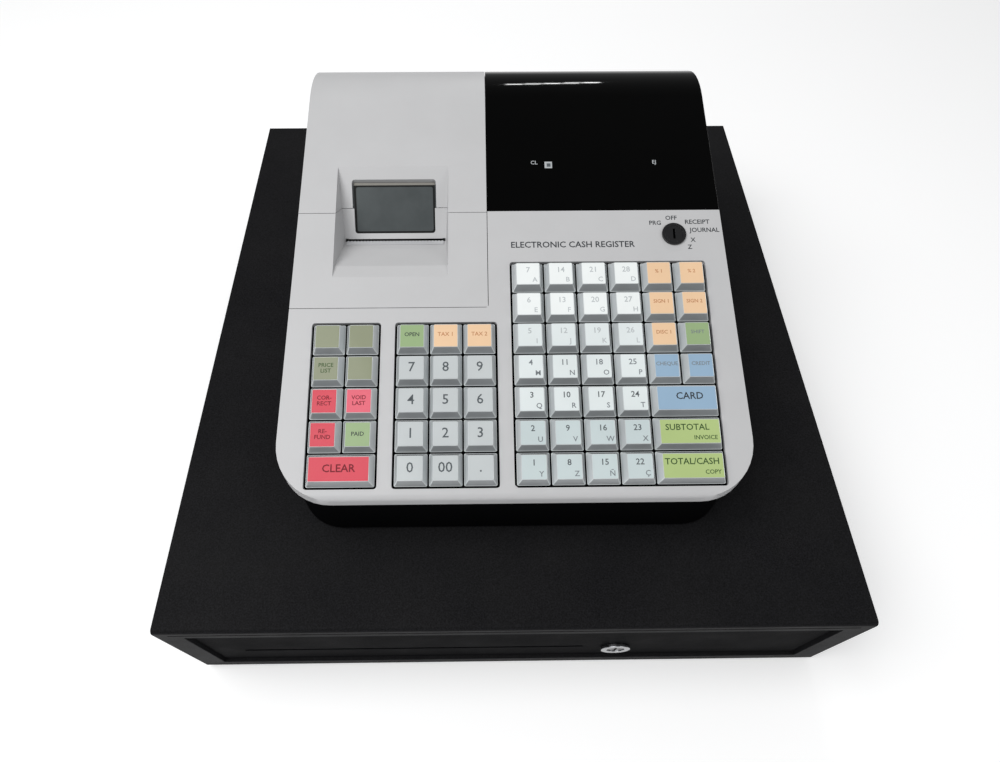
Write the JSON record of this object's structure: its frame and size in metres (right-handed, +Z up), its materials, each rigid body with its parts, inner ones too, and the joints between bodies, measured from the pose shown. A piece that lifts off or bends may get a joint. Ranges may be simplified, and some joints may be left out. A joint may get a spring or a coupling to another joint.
{
  "type": "cash register",
  "caption": "Electronic cash register with a sloping keyboard, a receipt printer and a dark display window, standing on a wide steel cash drawer.",
  "frame": {"origin": "bottom centre of the whole object, on the plane its drawer's rubber feet stand on", "axes": "+X to the operator's right, +Y to the back, away from the operator, +Z up"},
  "size_m": [0.41, 0.446, 0.2157],
  "materials": {
    "drawer_black": "fine-textured powder coat, low sheen",
    "drawer_front_black": "fine-textured powder coat, low sheen",
    "rubber_black": "matt rubber",
    "zinc_steel": "zinc-plated sheet steel",
    "lock_chrome": "polished chrome plate",
    "lock_black": "black moulding with a slight gloss",
    "till_plastic": "matt black moulding",
    "clip_steel": "bright steel",
    "spring_steel": "drawn spring wire",
    "case_black": "matt black moulding",
    "case_silver": "fine-grained light silver-grey moulding",
    "board_green": "solder mask over fibreglass",
    "window_black": "polished smoked acrylic",
    "display_teal": "display module",
    "pane_grey": "tinted clear pane",
    "tear_steel": "stamped stainless strip",
    "mechanism_grey": "dark engineering plastic",
    "pinion_cream": "acetal",
    "paper_white": "paper",
    "core_steel": "varnished steel laminations",
    "key_pale_grey": "clear keytop over a pale grey insert",
    "key_pale_blue": "clear keytop over a pale blue-white insert",
    "key_red": "clear keytop over a red insert",
    "key_blue": "clear keytop over a blue insert",
    "key_green": "clear keytop over a green insert",
    "key_orange": "clear keytop over an orange insert"
  },
  "bodies": {
    "root": {"drawer_case": "drawer_black", "rubber_feet": "rubber_black", "drawer_rails": "zinc_steel", "latch_solenoid": "zinc_steel", "ejector_spring": "spring_steel", "lower_case": "case_black", "upper_case": "case_silver", "key_plate": "case_black", "circuit_boards": "board_green", "display_window": "window_black", "display_modules": "display_teal", "printer_cover": "case_silver", "paper_window": "pane_grey", "tear_bar": "tear_steel", "print_mechanism": "mechanism_grey", "paper_cradle": "mechanism_grey", "transformer": "core_steel", "power_inlet": "case_black", "case_screws": "zinc_steel", "mode_lock_barrel": "lock_black"},
    "drawer": {"drawer_box": "zinc_steel", "drawer_front": "drawer_front_black", "drawer_lock_barrel": "lock_chrome", "note_tray": "till_plastic", "coin_tray": "till_plastic"},
    "drawer_lock": {"drawer_lock_rotor": "lock_black"},
    "clip_1": {"note_clip_1": "clip_steel"},
    "clip_2": {"note_clip_2": "clip_steel"},
    "clip_3": {"note_clip_3": "clip_steel"},
    "clip_4": {"note_clip_4": "clip_steel"},
    "latch": {"latch_hook": "zinc_steel"},
    "lid": {"paper_lid": "case_silver"},
    "platen": {"platen_roller": "rubber_black"},
    "pinion": {"motor_pinion": "pinion_cream"},
    "roll": {"paper_roll": "paper_white"},
    "mode_key": {"mode_lock_rotor": "lock_black"},
    "press_key_0": {"key_0": "key_pale_grey"},
    "press_key_00": {"key_00": "key_pale_grey"},
    "press_key_point": {"key_point": "key_pale_grey"},
    "press_key_1": {"key_1": "key_pale_grey"},
    "press_key_2": {"key_2": "key_pale_grey"},
    "press_key_3": {"key_3": "key_pale_grey"},
    "press_key_4": {"key_4": "key_pale_grey"},
    "press_key_5": {"key_5": "key_pale_grey"},
    "press_key_6": {"key_6": "key_pale_grey"},
    "press_key_7": {"key_7": "key_pale_grey"},
    "press_key_8": {"key_8": "key_pale_grey"},
    "press_key_9": {"key_9": "key_pale_grey"},
    "press_key_clear": {"key_clear": "key_red"},
    "press_key_card": {"key_card": "key_blue"},
    "press_key_subtotal": {"key_subtotal": "key_green"},
    "press_key_total": {"key_total": "key_green"},
    "press_correction_keys": {"correction_keys": "key_red"},
    "press_tax_keys": {"tax_keys": "key_orange"},
    "press_department_keys_1": {"department_keys_1": "key_pale_blue"},
    "press_department_keys_2": {"department_keys_2": "key_pale_blue"},
    "press_department_keys_3": {"department_keys_3": "key_pale_blue"},
    "press_department_keys_4": {"department_keys_4": "key_pale_blue"},
    "press_function_keys_1": {"function_keys_1": "key_orange"},
    "press_function_keys_2": {"function_keys_2": "key_orange"}
  },
  "joints": [
    {"name": "drawer_slide", "type": "slide", "parent": "root", "child": "drawer", "axis": [0, -1, 0], "range_m": [0, 0.3]},
    {"name": "lid_hinge", "type": "hinge", "parent": "root", "child": "lid", "pos_m": [-0.071, 0.14182, 0.16], "axis": [-1, 0, 0], "range_deg": [0, 75]},
    {"name": "mode_key_turn", "type": "hinge", "parent": "root", "child": "mode_key", "pos_m": [0.09818, -0.01353, 0.18746], "axis": [0, -0.2689, 0.9632], "range_deg": [-135, 45]},
    {"name": "drawer_lock_turn", "type": "hinge", "parent": "drawer", "child": "drawer_lock", "pos_m": [0.066, -0.2208, 0.036], "axis": [0, -1, 0], "range_deg": [0, 90]},
    {"name": "platen_turn", "type": "hinge", "parent": "root", "child": "platen", "pos_m": [-0.071, 0.00402, 0.15606], "axis": [1, 0, 0], "continuous": true},
    {"name": "pinion_turn", "type": "hinge", "parent": "root", "child": "pinion", "pos_m": [-0.071, 0.01202, 0.14128], "axis": [1, 0, 0], "continuous": true},
    {"name": "roll_turn", "type": "hinge", "parent": "root", "child": "roll", "pos_m": [-0.071, 0.07802, 0.17206], "axis": [1, 0, 0], "continuous": true},
    {"name": "latch_swing", "type": "hinge", "parent": "root", "child": "latch", "pos_m": [0.0075, 0.212, 0.022], "axis": [-1, 0, 0], "range_deg": [0, 9]},
    {"name": "clip_1_hinge", "type": "hinge", "parent": "drawer", "child": "clip_1", "pos_m": [-0.13612, 0.1822, 0.058], "axis": [-1, 0, 0], "range_deg": [0, 34], "stiffness_Nm_per_rad": 0.02, "springref_deg": -34.38},
    {"name": "clip_2_hinge", "type": "hinge", "parent": "drawer", "child": "clip_2", "pos_m": [-0.04537, 0.1822, 0.058], "axis": [-1, 0, 0], "range_deg": [0, 34], "stiffness_Nm_per_rad": 0.02, "springref_deg": -34.38},
    {"name": "clip_3_hinge", "type": "hinge", "parent": "drawer", "child": "clip_3", "pos_m": [0.04537, 0.1822, 0.058], "axis": [-1, 0, 0], "range_deg": [0, 34], "stiffness_Nm_per_rad": 0.02, "springref_deg": -34.38},
    {"name": "clip_4_hinge", "type": "hinge", "parent": "drawer", "child": "clip_4", "pos_m": [0.13612, 0.1822, 0.058], "axis": [-1, 0, 0], "range_deg": [0, 34], "stiffness_Nm_per_rad": 0.02, "springref_deg": -34.38},
    {"name": "press_key_0", "type": "slide", "parent": "root", "child": "press_key_0", "axis": [0, 0.2689, -0.9632], "range_m": [0, 0.0032], "stiffness_N_per_m": 200, "springref_m": -0.002},
    {"name": "press_key_00", "type": "slide", "parent": "root", "child": "press_key_00", "axis": [0, 0.2689, -0.9632], "range_m": [0, 0.0032], "stiffness_N_per_m": 200, "springref_m": -0.002},
    {"name": "press_key_point", "type": "slide", "parent": "root", "child": "press_key_point", "axis": [0, 0.2689, -0.9632], "range_m": [0, 0.0032], "stiffness_N_per_m": 200, "springref_m": -0.002},
    {"name": "press_key_1", "type": "slide", "parent": "root", "child": "press_key_1", "axis": [0, 0.2689, -0.9632], "range_m": [0, 0.0032], "stiffness_N_per_m": 200, "springref_m": -0.002},
    {"name": "press_key_2", "type": "slide", "parent": "root", "child": "press_key_2", "axis": [0, 0.2689, -0.9632], "range_m": [0, 0.0032], "stiffness_N_per_m": 200, "springref_m": -0.002},
    {"name": "press_key_3", "type": "slide", "parent": "root", "child": "press_key_3", "axis": [0, 0.2689, -0.9632], "range_m": [0, 0.0032], "stiffness_N_per_m": 200, "springref_m": -0.002},
    {"name": "press_key_4", "type": "slide", "parent": "root", "child": "press_key_4", "axis": [0, 0.2689, -0.9632], "range_m": [0, 0.0032], "stiffness_N_per_m": 200, "springref_m": -0.002},
    {"name": "press_key_5", "type": "slide", "parent": "root", "child": "press_key_5", "axis": [0, 0.2689, -0.9632], "range_m": [0, 0.0032], "stiffness_N_per_m": 200, "springref_m": -0.002},
    {"name": "press_key_6", "type": "slide", "parent": "root", "child": "press_key_6", "axis": [0, 0.2689, -0.9632], "range_m": [0, 0.0032], "stiffness_N_per_m": 200, "springref_m": -0.002},
    {"name": "press_key_7", "type": "slide", "parent": "root", "child": "press_key_7", "axis": [0, 0.2689, -0.9632], "range_m": [0, 0.0032], "stiffness_N_per_m": 200, "springref_m": -0.002},
    {"name": "press_key_8", "type": "slide", "parent": "root", "child": "press_key_8", "axis": [0, 0.2689, -0.9632], "range_m": [0, 0.0032], "stiffness_N_per_m": 200, "springref_m": -0.002},
    {"name": "press_key_9", "type": "slide", "parent": "root", "child": "press_key_9", "axis": [0, 0.2689, -0.9632], "range_m": [0, 0.0032], "stiffness_N_per_m": 200, "springref_m": -0.002},
    {"name": "press_key_clear", "type": "slide", "parent": "root", "child": "press_key_clear", "axis": [0, 0.2689, -0.9632], "range_m": [0, 0.0032], "stiffness_N_per_m": 200, "springref_m": -0.002},
    {"name": "press_key_card", "type": "slide", "parent": "root", "child": "press_key_card", "axis": [0, 0.2689, -0.9632], "range_m": [0, 0.0032], "stiffness_N_per_m": 200, "springref_m": -0.002},
    {"name": "press_key_subtotal", "type": "slide", "parent": "root", "child": "press_key_subtotal", "axis": [0, 0.2689, -0.9632], "range_m": [0, 0.0032], "stiffness_N_per_m": 200, "springref_m": -0.002},
    {"name": "press_key_total", "type": "slide", "parent": "root", "child": "press_key_total", "axis": [0, 0.2689, -0.9632], "range_m": [0, 0.0032], "stiffness_N_per_m": 200, "springref_m": -0.002},
    {"name": "press_correction_keys", "type": "slide", "parent": "root", "child": "press_correction_keys", "axis": [0, 0.2689, -0.9632], "range_m": [0, 0.0032], "stiffness_N_per_m": 200, "springref_m": -0.002},
    {"name": "press_tax_keys", "type": "slide", "parent": "root", "child": "press_tax_keys", "axis": [0, 0.2689, -0.9632], "range_m": [0, 0.0032], "stiffness_N_per_m": 200, "springref_m": -0.002},
    {"name": "press_department_keys_1", "type": "slide", "parent": "root", "child": "press_department_keys_1", "axis": [0, 0.2689, -0.9632], "range_m": [0, 0.0032], "stiffness_N_per_m": 200, "springref_m": -0.002},
    {"name": "press_department_keys_2", "type": "slide", "parent": "root", "child": "press_department_keys_2", "axis": [0, 0.2689, -0.9632], "range_m": [0, 0.0032], "stiffness_N_per_m": 200, "springref_m": -0.002},
    {"name": "press_department_keys_3", "type": "slide", "parent": "root", "child": "press_department_keys_3", "axis": [0, 0.2689, -0.9632], "range_m": [0, 0.0032], "stiffness_N_per_m": 200, "springref_m": -0.002},
    {"name": "press_department_keys_4", "type": "slide", "parent": "root", "child": "press_department_keys_4", "axis": [0, 0.2689, -0.9632], "range_m": [0, 0.0032], "stiffness_N_per_m": 200, "springref_m": -0.002},
    {"name": "press_function_keys_1", "type": "slide", "parent": "root", "child": "press_function_keys_1", "axis": [0, 0.2689, -0.9632], "range_m": [0, 0.0032], "stiffness_N_per_m": 200, "springref_m": -0.002},
    {"name": "press_function_keys_2", "type": "slide", "parent": "root", "child": "press_function_keys_2", "axis": [0, 0.2689, -0.9632], "range_m": [0, 0.0032], "stiffness_N_per_m": 200, "springref_m": -0.002}
  ],
  "couplings": [
    {"joint": "pinion_turn", "follows": "platen_turn", "ratio": -2},
    {"joint": "roll_turn", "follows": "platen_turn", "ratio": 0.2264}
  ]
}
